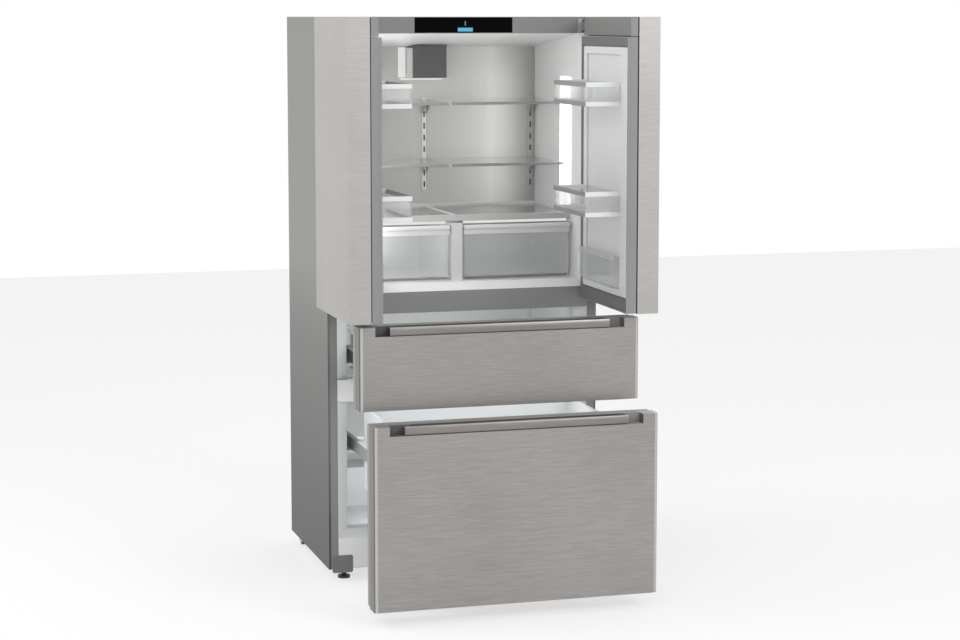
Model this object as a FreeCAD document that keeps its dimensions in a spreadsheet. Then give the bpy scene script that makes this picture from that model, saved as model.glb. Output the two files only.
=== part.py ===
"""A French-door refrigerator with two freezer drawers, shown with its doors and drawers open.

Frame: origin on the floor, at mid width, in the plane of the cabinet's front edge.
+X to the right seen from the front, +Y to the rear, +Z up. Lengths in millimetres.
"""
import FreeCAD, Part
import os
import re
import Sketcher

doc = FreeCAD.newDocument("refrigerator")
sheet = doc.addObject("Spreadsheet::Sheet", "dims")

sizes = {
    # Cabinet
    "half_width": 454, "tall": 1818, "deep": 597, "skirt": 40, "gauge": 1, "fold": 7,
    "flange": 3, "flange_wide": 24, "ply": 2.5, "gap": 0.3, "seat": 2, "plate": 2,
    # Heights of the front, from the base panel up
    "base_tall": 103, "lower_room": 443, "beam_tall": 75, "upper_room": 207, "band_tall": 68,
    "sill_rise": 24, "fascia_tall": 53, "beam_back": 45,
    # Fridge compartment
    "room_side": 54, "ceiling_fall": 48, "mouth": 33, "room_rear": 95, "wall_ply": 2,
    # Freezer compartment and machine compartment
    "cold_side": 69, "rim_rise": 22, "cold_rear": 112, "step_rear": 242, "step_rise": 133,
    "bay_wall": 25, "bay_roof": 23, "vent_count": 7, "vent_tall": 6, "vent_pitch": 22,
    "vent_rise": 60, "vent_half": 300,
    # Fascia and control panel
    "panel_half": 163, "panel_ply": 1, "panel_edge": 2,
    # Corner covers of the base panel
    "cover_wide": 68, "cover_edge": 11, "cover_drop": 13, "cover_rise": 45, "cover_ply": 1,
    # Levelling feet and rear rollers
    "foot_edge": 60, "foot_back": 50, "foot_disc": 20, "foot_disc_tall": 8, "foot_stem": 8,
    "roller_edge": 34, "roller_rear": 57, "roller_radius": 18, "roller_half": 12,
    "axle_radius": 4, "cheek": 3, "cheek_half": 16,
    # Back wall rails
    "rail_edge": 18, "rail_half": 7, "rail_deep": 6, "rail_rise": 54, "rail_over": 4.4,
    "slot_tall": 20, "slot_pitch": 40, "slot_half": 3, "slot_deep": 4, "slot_rise": 10,
    # Side lights
    "light_ply": 4, "light_front": 108, "light_deep": 101, "light_rise": 8, "light_over": 75,
    # Fan housing and fan
    "fan_half": 61, "fan_deep": 81, "fan_drop": 3, "fan_share": 0.17538, "fan_wall": 4,
    "fan_edge": 10, "hub_share": 0.154, "fan_inset": 21, "hub_long": 21, "motor_gap": 10,
    "bar_half": 8, "blade_half": 5,
    # Half shelves
    "shelf_in": 6, "shelf_edge": 9, "shelf_front": 160, "shelf_ply": 4, "upper_share": 0.61821,
    "lower_share": 0.27656, "trim_deep": 6, "trim_tall": 9, "bracket_ply": 4, "bracket_tall": 48,
    "bracket_tip": 6, "bracket_long": 90,
    # Crisper cover, divider and crispers
    "cover_front": 110, "top_rise": 212, "cover_glass": 5, "cover_band": 26, "cover_side": 3,
    "divider_half": 18, "divider_front": 80, "crisper_in": 20, "crisper_side": 4,
    "crisper_front": 90, "crisper_rear": 22, "crisper_drop": 32, "crisper_lip": 12, "lip_tall": 14,
    # Hinges
    "pin_inset": 25, "pin_front": 44, "pin_radius": 5, "pin_tall": 18, "leaf": 5, "leaf_side": 18,
    "leaf_front": 62, "leaf_gap": 9, "leaf_drop": 6, "leaf_plate": 8, "leaf_plate_wide": 62,
    "leaf_plate_tall": 46, "knuckle": 48, "knuckle_out": 31, "knuckle_front": 27,
    # Doors, standing open at a right angle
    "door_over": 39, "door_thick": 106, "door_steel": 69, "door_slit": 3, "door_gap": 2,
    "door_under": 35, "slit_inset": 6, "frame_inset": 1.5, "frame_step": 15, "frame_drop": 8,
    "cap_step": 10, "recess_edge": 69, "recess_step": 61, "recess_rise": 71, "recess_drop": 118,
    "pan_deep": 9,
    # Door bins
    "bin_deep": 111.5, "bin_side": 2, "bin_ply": 2.5, "bin_drop": 74,
    "bin_top_tall": 84, "bin_mid_share": 0.31181, "bin_mid_tall": 91, "bin_low_rise": 5,
    "bin_low_tall": 101, "bin_low_deep": 21,
    # Freezer drawers
    "front_edge": 5, "front_round": 10, "front_steel": 62, "front_frame": 98, "front_seal": 106,
    "drawer_a_face": 421, "drawer_b_face": 597, "upper_lap": 15.5, "upper_rise": 41,
    "lower_lap": 23.5, "lower_drop": 8, "frame_in": 3, "frame_wall": 3, "seal_in": 8,
    "seal_band": 12, "notch_edge": 49, "notch_tall": 29, "notch_deep": 35, "handle_end": 47,
    "handle_back": 14, "handle_front": 2, "handle_low": 28, "handle_high": 2,
    "bow_radius": 40, "handle_post": 24, "tub_side": 5, "tub_ply": 3, "tub_rim": 7,
    "tub_a_rise": 11, "tub_a_drop": 73, "tub_a_gap": 25, "tub_b_rise": 15, "tub_b_drop": 11,
    "tub_b_gap": 33, "tub_b_shelf": 12, "tub_b_well": 13,
    "slide_edge": 19, "slide_ply": 16, "slide_tall": 40, "ledge_tall": 9, "ledge_step": 2,
    "slide_a_rise": 33, "slide_b_rise": 122, "slide_start": 35.5, "slide_rod": 10, "wing_tall": 5,
    # Cooling and mains inlet
    "pot_edge": 204, "pot_step": 100, "pot_radius": 80, "pot_tall": 150, "pot_wall": 3,
    "ice_half": 230, "ice_ply": 3, "ice_rise": 122, "ice_drop": 88,
    "inlet_edge": 174, "inlet_wide": 50, "inlet_rise": 160, "inlet_tall": 35, "inlet_deep": 22,
}

# Places that follow from the sizes, so that pieces that meet keep meeting.
places = {
    "cold_rim": "skirt + base_tall", "beam_low": "cold_rim + lower_room",
    "beam_high": "beam_low + beam_tall", "cold_top": "beam_high + upper_room",
    "sill": "cold_top + band_tall", "room_floor": "sill + sill_rise",
    "room_top": "tall - fascia_tall", "room_low_top": "room_top - ceiling_fall",
    "flange_in": "half_width - fold - flange_wide", "room_half": "half_width - room_side",
    "cold_half": "half_width - cold_side", "room_back": "deep - room_rear",
    "wall_face": "room_back - wall_ply", "cold_floor": "cold_rim + rim_rise",
    "cold_back": "deep - cold_rear", "step_back": "deep - step_rear",
    "step_up": "cold_floor + step_rise", "bay_front": "step_back + bay_wall",
    "bay_top": "step_up - bay_roof", "vent_low": "skirt + vent_rise",
    "panel_low": "room_top + panel_edge", "panel_high": "tall - panel_edge",
    "cover_out": "half_width - cover_edge", "cover_in": "cover_out - cover_wide",
    "cover_low": "skirt - cover_drop", "cover_high": "skirt + cover_rise",
    "foot_across": "half_width - foot_edge", "roller_across": "half_width - roller_edge",
    "roller_back": "deep - roller_rear", "rail_across": "room_half - rail_edge",
    "rail_front": "wall_face - rail_deep", "rail_low": "cover_top + rail_rise",
    "rail_high": "shelf_upper + rail_over", "slot_start": "rail_low + slot_rise",
    "light_back": "light_front + light_deep", "light_low": "cover_top + light_rise",
    "light_high": "rail_high + light_over", "fan_front": "wall_face - fan_deep",
    "fan_high": "room_low_top - fan_drop", "fan_low": "fan_high - fan_tall",
    "fan_tall": "(room_top - cover_top) * fan_share", "fan_radius": "fan_tall / 2 - fan_edge",
    "hub_radius": "fan_tall * hub_share",
    "fan_centre": "fan_high - fan_tall / 2", "fan_face": "fan_front + fan_inset",
    "fan_rear": "fan_face + hub_long", "motor_rear": "wall_face - motor_gap",
    "shelf_out": "room_half - shelf_edge", "shelf_upper": "cover_top + (room_top - cover_top) * upper_share",
    "shelf_lower": "cover_top + (room_top - cover_top) * lower_share", "cover_top": "room_floor + top_rise",
    "cover_half": "room_half - cover_side", "crisper_out": "room_half - crisper_side",
    "crisper_back": "wall_face - crisper_rear", "crisper_high": "cover_top - crisper_drop",
    "pin_across": "half_width - pin_inset", "leaf_in": "pin_across - leaf_side",
    "leaf_low": "door_low - leaf_gap", "leaf_top_low": "tall - leaf_drop",
    "door_out": "half_width + door_over", "door_in": "door_out - door_thick",
    "door_hinge": "pin_front - pin_inset", "door_free": "door_hinge + half_width - door_gap",
    "door_low": "sill - door_under", "frame_hinge": "door_hinge + frame_step",
    "frame_top": "room_top - frame_drop", "recess_free": "door_free - recess_edge",
    "recess_hinge": "door_hinge + recess_step", "recess_low": "door_low + recess_rise",
    "recess_high": "tall - recess_drop", "door_pan": "door_in + pan_deep",
    "bin_in": "door_in - bin_deep", "bin_free": "recess_free - bin_side",
    "bin_hinge": "recess_hinge + bin_side", "bin_a_high": "recess_high - bin_drop",
    "bin_a_low": "bin_a_high - bin_top_tall",
    "bin_b_low": "recess_low + (recess_high - recess_low) * bin_mid_share",
    "bin_b_high": "bin_b_low + bin_mid_tall", "bin_c_low": "recess_low + bin_low_rise",
    "bin_c_high": "bin_c_low + bin_low_tall", "bin_c_in": "door_in - bin_low_deep",
    "front_half": "half_width - front_edge", "drawer_a_high": "cold_top + upper_lap",
    "drawer_a_low": "beam_low + upper_rise", "drawer_b_high": "beam_low + lower_lap",
    "drawer_b_low": "skirt + lower_drop", "notch_half": "front_half - notch_edge",
    "handle_half": "notch_half - handle_end", "slide_out": "cold_half - slide_edge",
    "slide_in": "slide_out - slide_ply", "ledge_in": "slide_in + ledge_step",
    "tub_half": "slide_in - tub_side", "tub_a_low": "beam_high + tub_a_rise",
    "tub_a_high": "cold_top - tub_a_drop", "tub_b_low": "cold_floor + tub_b_rise",
    "tub_b_high": "beam_low - tub_b_drop", "tub_b_step": "step_up + tub_b_shelf",
    "travel_a": "drawer_a_face - front_seal - seat",
    "travel_b": "drawer_b_face - front_seal - seat",
    "tub_a_rear": "cold_back - tub_a_gap - travel_a",
    "tub_b_rear": "travel_b - cold_back + tub_b_gap",
    "tub_b_mid": "travel_b - step_back + tub_b_well",
    "slide_a_low": "tub_a_low + slide_a_rise", "slide_b_low": "step_up + slide_b_rise",
    "slide_a_front": "travel_a / 2 - slide_start", "slide_b_front": "travel_b / 2 - slide_start",
    "slide_long": "cold_back - beam_back", "pot_back": "bay_front + pot_step",
    "pot_across": "half_width - pot_edge",
    "ice_low": "step_up + ice_rise", "ice_high": "cold_top - ice_drop",
    "inlet_in": "half_width - inlet_edge", "inlet_out": "inlet_in + inlet_wide",
    "inlet_low": "skirt + inlet_rise",
    "inlet_high": "inlet_low + inlet_tall",
}

for row, (name, value) in enumerate(sizes.items(), start=1):
    sheet.set(f"A{row}", name)
    sheet.set(f"B{row}", str(value))
    sheet.setAlias(f"B{row}", name)
doc.recompute()


def bound(text):
    """An expression of the sheet's names, with each place worked out from the sizes."""
    def spelled(word):
        name = word.group()
        return f"({bound(places[name])})" if name in places else "dims." + name

    return re.sub(r"(?<![.a-z_])[a-z][a-z_]*", spelled, str(text))


def reading(text):
    """The number that an expression gives now."""
    return float(sheet.evalExpression(bound(text)))


def below(text):
    """The same plane on the other side of zero."""
    return f"-({text})"


def span(side, near, far):
    """A range across X on one side of the middle: side is 1 on the right and -1 on the left."""
    return (near, far) if side > 0 else (below(far), below(near))


def even(text):
    """A range that reaches equally far to both sides."""
    return (below(text), text)


def block(name, across, back, up):
    """A rectangular block between two planes along each axis."""
    solid = doc.addObject("Part::Box", name)
    for length, axis, (low, high) in zip(("Length", "Width", "Height"), "xyz", (across, back, up)):
        solid.setExpression(length, bound(f"({high}) - ({low})"))
        solid.setExpression(f"Placement.Base.{axis}", bound(low))
    return solid


turns = {
    "x": FreeCAD.Rotation(FreeCAD.Vector(0, 0, 1), FreeCAD.Vector(1, 0, 0)),
    "y": FreeCAD.Rotation(FreeCAD.Vector(0, 0, 1), FreeCAD.Vector(0, 1, 0)),
    "z": FreeCAD.Rotation(),
}


def rod(name, along, radius, start, end, first, second):
    """A round rod along an axis, from start to end, at two places on the other axes in order."""
    solid = doc.addObject("Part::Cylinder", name)
    solid.Placement.Rotation = turns[along]
    solid.setExpression("Radius", bound(radius))
    solid.setExpression("Height", bound(f"({end}) - ({start})"))
    spots = {along: start}
    others = [axis for axis in "xyz" if axis != along]
    spots.update(zip(others, (first, second)))
    for axis, place in spots.items():
        solid.setExpression(f"Placement.Base.{axis}", bound(place))
    return solid


def taper(name, back, near, far):
    """A frustum from the front plane of back to its rear one; near and far are (across, up)."""
    solid = doc.addObject("Part::Wedge", name)
    (near_across, near_up), (far_across, far_up) = near, far
    bounds = {
        "Ymin": back[0], "Ymax": back[1],
        "Xmin": near_across[0], "Xmax": near_across[1], "Zmin": near_up[0], "Zmax": near_up[1],
        "X2min": far_across[0], "X2max": far_across[1], "Z2min": far_up[0], "Z2max": far_up[1],
    }
    for prop, plane in bounds.items():
        solid.setExpression(prop, bound(plane))
    return solid


def fuse(name, *shapes):
    """Several solids joined into one."""
    solid = doc.addObject("Part::MultiFuse", name)
    solid.Shapes = list(shapes)
    solid.Refine = True
    return solid


def cut(name, base, *tools):
    """A solid with others taken out of it."""
    tool = tools[0] if len(tools) == 1 else fuse(f"{name}_tools", *tools)
    solid = doc.addObject("Part::Cut", name)
    solid.Base = base
    solid.Tool = tool
    solid.Refine = True
    return solid


nodes = {}


def keep(node, solid):
    """Registers a finished piece under the name of its file."""
    solid.Label = node
    nodes[node] = solid
    return solid


# Cabinet shell: one folded sheet makes both sides and the top, with a return at the front edge.
shell_out = block("wrap_out", even("half_width"), ("0", "deep"), ("skirt", "tall"))
shell_in = block("wrap_in", even("half_width - gauge"), ("0", "deep + gauge"),
                 ("skirt - gauge", "tall - gauge"))
folds = [
    block(f"wrap_fold_{side + 1}", span(side, "half_width - fold", "half_width - gauge"),
          ("0", "gauge"), ("skirt", "tall - gauge"))
    for side in (-1, 1)
]
keep("cabinet_wrap", fuse("wrap", cut("wrap_shell", shell_out, shell_in), *folds))

keep("back_panel", block("back", even("half_width - gauge"), ("deep - gauge", "deep"),
                         ("bay_top", "tall - gauge")))

vents = [
    block(f"vent_{row}", even("vent_half"), ("deep - 2 * gauge", "deep + gauge"),
          (f"vent_low + {row} * vent_pitch", f"vent_low + {row} * vent_pitch + vent_tall"))
    for row in range(sizes["vent_count"])
]
inlet_hole = block("inlet_hole", ("-inlet_out", "-inlet_in"), ("deep - inlet_deep", "deep + gauge"),
                   ("inlet_low", "inlet_high"))
for vent in vents:
    vent.setExpression("Length", bound("vent_half + inlet_in - 2 * gap"))
    vent.setExpression("Placement.Base.x", bound("0 - inlet_in + 2 * gap"))
keep("machine_cover", cut("cover_plate",
                          block("cover_sheet", even("half_width - gauge"), ("deep - gauge", "deep"),
                                ("skirt + plate", "bay_top")),
                          inlet_hole, *vents))

inlet = block("inlet_body", ("-inlet_out", "-inlet_in"), ("deep - inlet_deep", "deep"),
              ("inlet_low", "inlet_high"))
inlet_well = block("inlet_well", ("-inlet_out + ply", "-inlet_in - ply"),
                   ("deep - inlet_deep / 2", "deep + 2 * gauge"),
                   ("inlet_low + ply", "inlet_high - ply"))
keep("mains_inlet", cut("inlet", inlet, inlet_well))

# Base frame: a floor plate with two cheeks and an axle for each rear roller.
base_pieces = [
    block("base_plate", even("half_width - gauge"), ("flange", "deep - gauge"),
          ("skirt", "skirt + plate"))
]
for side in (-1, 1):
    mark = side + 1
    for inner, outer in (("cheek_half - cheek", "cheek_half"), ("-cheek_half", "-cheek_half + cheek")):
        base_pieces.append(block(
            f"cheek_{mark}_{len(base_pieces)}",
            (f"{side} * roller_across + {inner}", f"{side} * roller_across + {outer}"),
            ("roller_back - cheek_half", "roller_back + cheek_half"),
            ("roller_radius - axle_radius - cheek", "skirt")))
    base_pieces.append(rod(f"axle_{mark}", "x", "axle_radius", f"{side} * roller_across - cheek_half",
                           f"{side} * roller_across + cheek_half", "roller_back", "roller_radius"))
keep("base_frame", fuse("base", *base_pieces))

for side, word in ((-1, "left"), (1, "right")):
    wheel = rod(f"wheel_{word}", "x", "roller_radius", f"{side} * roller_across - roller_half",
                f"{side} * roller_across + roller_half", "roller_back", "roller_radius")
    bore = rod(f"wheel_bore_{word}", "x", "axle_radius + gap",
               f"{side} * roller_across - cheek_half",
               f"{side} * roller_across + cheek_half", "roller_back", "roller_radius")
    keep(f"roller_{word}", cut(f"roller_body_{word}", wheel, bore))


def turned(name, across, back, points):
    """A revolved body on a vertical axis, from (radius, height) points named in the sheet."""
    body = doc.addObject("PartDesign::Body", name)
    sketch = body.newObject("Sketcher::SketchObject", f"{name}_outline")
    plane = next(item for item in body.Origin.OriginFeatures if item.Role == "XZ_Plane")
    sketch.AttachmentSupport = [(plane, "")]
    sketch.MapMode = "FlatFace"
    spots = [(reading(radius), reading(up)) for radius, up in points]
    for start, end in zip(spots, spots[1:] + spots[:1]):
        sketch.addGeometry(Part.LineSegment(FreeCAD.Vector(*start, 0), FreeCAD.Vector(*end, 0)))
    for index in range(len(points)):
        following = (index + 1) % len(points)
        sketch.addConstraint(Sketcher.Constraint("Coincident", index, 2, following, 1))
    for index, (radius, up) in enumerate(points):
        for kind, text, value in (("DistanceX", radius, spots[index][0]),
                                  ("DistanceY", up, spots[index][1])):
            if value == 0:
                anchor = -2 if kind == "DistanceX" else -1
                sketch.addConstraint(Sketcher.Constraint("PointOnObject", index, 1, anchor))
            else:
                number = sketch.addConstraint(Sketcher.Constraint(kind, -1, 1, index, 1, value))
                sketch.setExpression(f"Constraints[{number}]", bound(text))
    revolution = body.newObject("PartDesign::Revolution", f"{name}_turn")
    revolution.Profile = sketch
    revolution.ReferenceAxis = (sketch, ["V_Axis"])
    revolution.Angle = 360
    body.setExpression("Placement.Base.x", bound(across))
    body.setExpression("Placement.Base.y", bound(back))
    return body


# Levelling feet: a disc on the floor with a stem up to the floor plate.
foot_outline = [("0", "0"), ("foot_disc", "0"), ("foot_disc", "foot_disc_tall"),
                ("foot_stem", "foot_disc_tall"), ("foot_stem", "skirt"), ("0", "skirt")]
keep("foot_left", turned("foot_a", "-foot_across", "foot_back", foot_outline))
keep("foot_right", turned("foot_b", "foot_across", "foot_back", foot_outline))

# Base panel with its two dark corner covers.
base_panel = [block("base_panel_sheet", even("half_width - fold"), ("0", "flange"),
                    ("skirt + plate", "cold_rim"))]
for side in (-1, 1):
    base_panel.append(block(f"corner_cover_{side + 1}", span(side, "cover_in", "cover_out"),
                            ("-cover_ply", "flange"), ("cover_low", "cover_high")))
keep("base_panel", fuse("base_joined", *base_panel))

# Front frame: two uprights and the beam between the drawers. The beam reaches back into the mouth.
frame_pieces = [
    block(f"upright_{side + 1}", span(side, "flange_in", "half_width - fold"), ("0", "flange"),
          ("cold_rim", "room_top"))
    for side in (-1, 1)
]
frame_pieces.append(block("beam_face", even("flange_in"), ("0", "flange"),
                          ("beam_low", "beam_high")))
frame_pieces.append(block("beam_body", even("cold_half - gap"), ("flange", "beam_back"),
                          ("beam_low", "beam_high")))
keep("front_frame", fuse("frame", *frame_pieces))

keep("partition", block("partition_face", even("flange_in"), ("0", "flange"), ("cold_top", "sill")))
keep("fascia", block("fascia_face", even("half_width - fold"), ("0", "flange"),
                     ("room_top", "tall - gauge")))
keep("control_panel", block("control_face", even("panel_half"), ("-panel_ply", "0"),
                            ("panel_low", "panel_high")))


def fridge_room(name, grow):
    """The fridge compartment: a mouth that narrows, then a room whose ceiling falls to the rear."""
    mouth = taper(f"{name}_mouth", ("flange", "mouth"),
                  (even(f"flange_in{grow}"), (f"sill - 0{grow.replace('+', '-')}", f"room_top{grow}")),
                  (even(f"room_half{grow}"),
                   (f"room_floor - 0{grow.replace('+', '-')}", f"room_top{grow}")))
    room = taper(f"{name}_room", ("mouth", f"room_back{grow}"),
                 (even(f"room_half{grow}"),
                  (f"room_floor - 0{grow.replace('+', '-')}", f"room_top{grow}")),
                 (even(f"room_half{grow}"),
                  (f"room_floor - 0{grow.replace('+', '-')}", f"room_low_top{grow}")))
    return fuse(name, mouth, room)


def freezer_room(name, grow):
    """The freezer compartment: a mouth that narrows, and a room with a step over the compressor."""
    less = grow.replace("+", "-")
    mouth = taper(f"{name}_mouth", ("flange", "mouth"),
                  (even(f"flange_in{grow}"), (f"cold_rim - 0{less}", f"cold_top{grow}")),
                  (even(f"cold_half{grow}"), (f"cold_floor - 0{less}", f"cold_top{grow}")))
    lower = block(f"{name}_lower", even(f"cold_half{grow}"), ("mouth", f"step_back{grow}"),
                  (f"cold_floor - 0{less}", f"step_up{grow}"))
    upper = block(f"{name}_upper", even(f"cold_half{grow}"), ("mouth", f"cold_back{grow}"),
                  (f"step_up - 0{less}", f"cold_top{grow}"))
    return fuse(name, mouth, lower, upper)


# Liners: thin moulded boxes, and the ledges that carry the drawer slides.
keep("fridge_liner", cut("fridge_shell", fridge_room("fridge_skin", " + ply"),
                         fridge_room("fridge_space", "")))
ledges = []
for side in (-1, 1):
    for word in ("a", "b"):
        ledges.append(block(f"ledge_{word}_{side + 1}", span(side, "ledge_in", "cold_half"),
                            ("beam_back", "cold_back"),
                            (f"slide_{word}_low - gap - ledge_tall", f"slide_{word}_low - gap")))
keep("freezer_liner", fuse("freezer_lined",
                           cut("freezer_shell", freezer_room("freezer_skin", " + ply"),
                               freezer_room("freezer_space", "")), *ledges))

# Evaporator plate behind the freezer liner.
ice_span = (even("ice_half"), ("cold_back + ply", "cold_back + ply + ice_ply"),
            ("ice_low", "ice_high"))
keep("evaporator", block("evaporator_plate", *ice_span))

# Foam between the shell and the liners, open over the machine compartment.
foam = block("foam_block", even("half_width - gauge"), ("flange", "deep - gauge"),
             ("skirt + plate", "tall - gauge"))
bay = block("foam_bay", even("half_width"), ("bay_front", "deep"), ("skirt", "bay_top"))
keep("insulation", cut("foam", foam, fridge_room("foam_fridge", " + ply"),
                       freezer_room("foam_freezer", " + ply"), bay,
                       block("foam_ice", *ice_span)))

# Compressor: a hollow pot on the floor plate.
pot = rod("pot_out", "z", "pot_radius", "skirt + plate", "skirt + plate + pot_tall",
          "pot_across", "pot_back")
pot_space = rod("pot_in", "z", "pot_radius - pot_wall", "skirt + plate + pot_wall",
                "skirt + plate + pot_tall - pot_wall", "pot_across", "pot_back")
keep("compressor", cut("compressor_pot", pot, pot_space))

# Back wall of the fridge compartment with three slotted shelf rails.
wall_pieces = [block("wall_sheet", even("room_half"), ("wall_face", "room_back"),
                     ("room_floor", "room_low_top"))]
slots = []
for place in (-1, 0, 1):
    middle = f"{place} * rail_across"
    wall_pieces.append(block(f"rail_{place + 1}", (f"{middle} - rail_half", f"{middle} + rail_half"),
                             ("rail_front", "wall_face"), ("rail_low", "rail_high")))
    count = int(reading("(rail_high - slot_start) / slot_pitch"))
    for row in range(count):
        slots.append(block(f"slot_{place + 1}_{row}",
                           (f"{middle} - slot_half", f"{middle} + slot_half"),
                           ("rail_front - gauge", "rail_front + slot_deep"),
                           (f"slot_start + {row} * slot_pitch",
                            f"slot_start + {row} * slot_pitch + slot_tall")))
keep("back_wall", cut("wall", fuse("wall_joined", *wall_pieces), *slots))

for side, word in ((-1, "left"), (1, "right")):
    keep(f"side_light_{word}", block(f"light_{word}", span(side, "room_half - light_ply", "room_half"),
                                     ("light_front", "light_back"), ("light_low", "light_high")))

# Fan housing on the back wall: a hood open below, with a motor on a cross bar and the fan on it.
hood = block("hood_out", even("fan_half"), ("fan_front", "wall_face"), ("fan_low", "fan_high"))
hood_space = block("hood_in", even("fan_half - fan_wall"), ("fan_front + fan_wall", "wall_face"),
                   ("fan_low - gauge", "fan_high - fan_wall"))
motor = rod("motor", "y", "hub_radius", "fan_rear", "motor_rear", "0", "fan_centre")
motor_bar = block("motor_bar", even("fan_half - gauge"), ("motor_rear - bar_half", "motor_rear"),
                  ("fan_centre - bar_half", "fan_centre + bar_half"))
keep("fan_housing", fuse("hood", cut("hood_shell", hood, hood_space), motor, motor_bar))

hub = rod("fan_hub", "y", "hub_radius", "fan_face", "fan_rear - gap", "0", "fan_centre")
blades = [
    block("blade_across", even("fan_radius"),
          ("fan_face + bar_half - blade_half / 2", "fan_face + bar_half + blade_half / 2"),
          ("fan_centre - blade_half", "fan_centre + blade_half")),
    block("blade_up", even("blade_half"),
          ("fan_face + bar_half - blade_half / 2", "fan_face + bar_half + blade_half / 2"),
          ("fan_centre - fan_radius", "fan_centre + fan_radius")),
]
keep("air_fan", fuse("fan", hub, *blades))

# Half shelves: a glass plate, a front trim, and two brackets that hook on the rails.
for side, word in ((-1, "left"), (1, "right")):
    for level in ("upper", "lower"):
        mark = f"{level}_{word}"
        top = f"shelf_{level}"
        pieces = [
            block(f"shelf_glass_{mark}", span(side, "shelf_in", "shelf_out"),
                  ("shelf_front", "rail_front - gauge"), (f"{top} - shelf_ply", top)),
            block(f"shelf_trim_{mark}", span(side, "shelf_in", "shelf_out"),
                  ("shelf_front - trim_deep", "shelf_front"), (f"{top} - trim_tall", top)),
        ]
        for near, far in (("shelf_in", "shelf_in + bracket_ply"),
                          ("rail_across - bracket_ply / 2", "rail_across + bracket_ply / 2")):
            pieces.append(taper(f"bracket_{mark}_{len(pieces)}", ("rail_front - bracket_long", "rail_front"),
                                (span(side, near, far),
                                 (f"{top} - shelf_ply - bracket_tip", f"{top} - shelf_ply")),
                                (span(side, near, far),
                                 (f"{top} - shelf_ply - bracket_tall", f"{top} - shelf_ply"))))
        keep(f"shelf_{mark}", fuse(f"shelf_body_{mark}", *pieces))

# Cover over the crispers, the divider between them, and the two crispers.
cover_plate = block("cover_plate_glass", even("cover_half"), ("cover_front", "wall_face"),
                    ("cover_top - cover_glass", "cover_top"))
cover_lip = block("cover_lip", even("cover_half"), ("cover_front", "cover_front + shelf_ply"),
                  ("cover_top - cover_band", "cover_top"))
keep("crisper_cover", fuse("cover", cover_plate, cover_lip))
keep("crisper_divider", block("divider", even("divider_half"), ("divider_front", "wall_face"),
                              ("room_floor", "cover_top - cover_band")))
for side, word in ((-1, "left"), (1, "right")):
    outside = block(f"crisper_out_{word}", span(side, "crisper_in", "crisper_out"),
                    ("crisper_front", "crisper_back"), ("room_floor + gap", "crisper_high"))
    inside = block(f"crisper_space_{word}",
                   span(side, "crisper_in + bin_ply", "crisper_out - bin_ply"),
                   ("crisper_front + bin_ply", "crisper_back - bin_ply"),
                   ("room_floor + gap + bin_ply", "crisper_high + gauge"))
    lip = block(f"crisper_lip_{word}",
                span(side, "crisper_in + crisper_lip", "crisper_out - crisper_lip"),
                ("crisper_front - crisper_lip", "crisper_front"),
                ("crisper_high - lip_tall", "crisper_high"))
    keep(f"crisper_{word}", fuse(f"crisper_body_{word}",
                                 cut(f"crisper_shell_{word}", outside, inside), lip))

# Hinge leaves on the cabinet front, each with its pin.
for side, word in ((-1, "left"), (1, "right")):
    for place, leaf_low, pin_low, pin_high in (
            ("upper", "leaf_top_low", "leaf_top_low - pin_tall", "leaf_top_low"),
            ("lower", "leaf_low", "leaf_low + leaf", "leaf_low + leaf + pin_tall")):
        mark = f"{place}_{word}"
        plate = block(f"leaf_{mark}", span(side, "leaf_in", "half_width - fold"),
                      ("-leaf_front", "0"), (leaf_low, f"{leaf_low} + leaf"))
        pin = rod(f"pin_{mark}", "z", "pin_radius", pin_low, pin_high,
                  f"{side} * pin_across", "-pin_front")
        parts = [plate, pin]
        if place == "upper":
            parts.append(block(f"leaf_plate_{mark}",
                               span(side, "half_width - fold - leaf_plate_wide", "half_width - fold"),
                               ("-leaf_plate", "0"), (f"{leaf_low} - leaf_plate_tall", leaf_low)))
        keep(f"hinge_{mark}", fuse(f"hinge_body_{mark}", *parts))


def pin_space(name, side):
    """The room that a door leaves for its pins and for the upper leaf."""
    pocket = block(f"{name}_pocket", span(side, "pin_across - knuckle", "pin_across + knuckle_out"),
                   ("-pin_front - knuckle_front", "-door_hinge + gauge"),
                   ("leaf_top_low - gauge", "tall + gauge"))
    upper = rod(f"{name}_upper", "z", "pin_radius + gap", "leaf_top_low - pin_tall - gap", "tall",
                f"{side} * pin_across", "-pin_front")
    lower = rod(f"{name}_lower", "z", "pin_radius + gap", "leaf_low + leaf",
                "leaf_low + leaf + pin_tall + gap", f"{side} * pin_across", "-pin_front")
    return [pocket, upper, lower]


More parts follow.
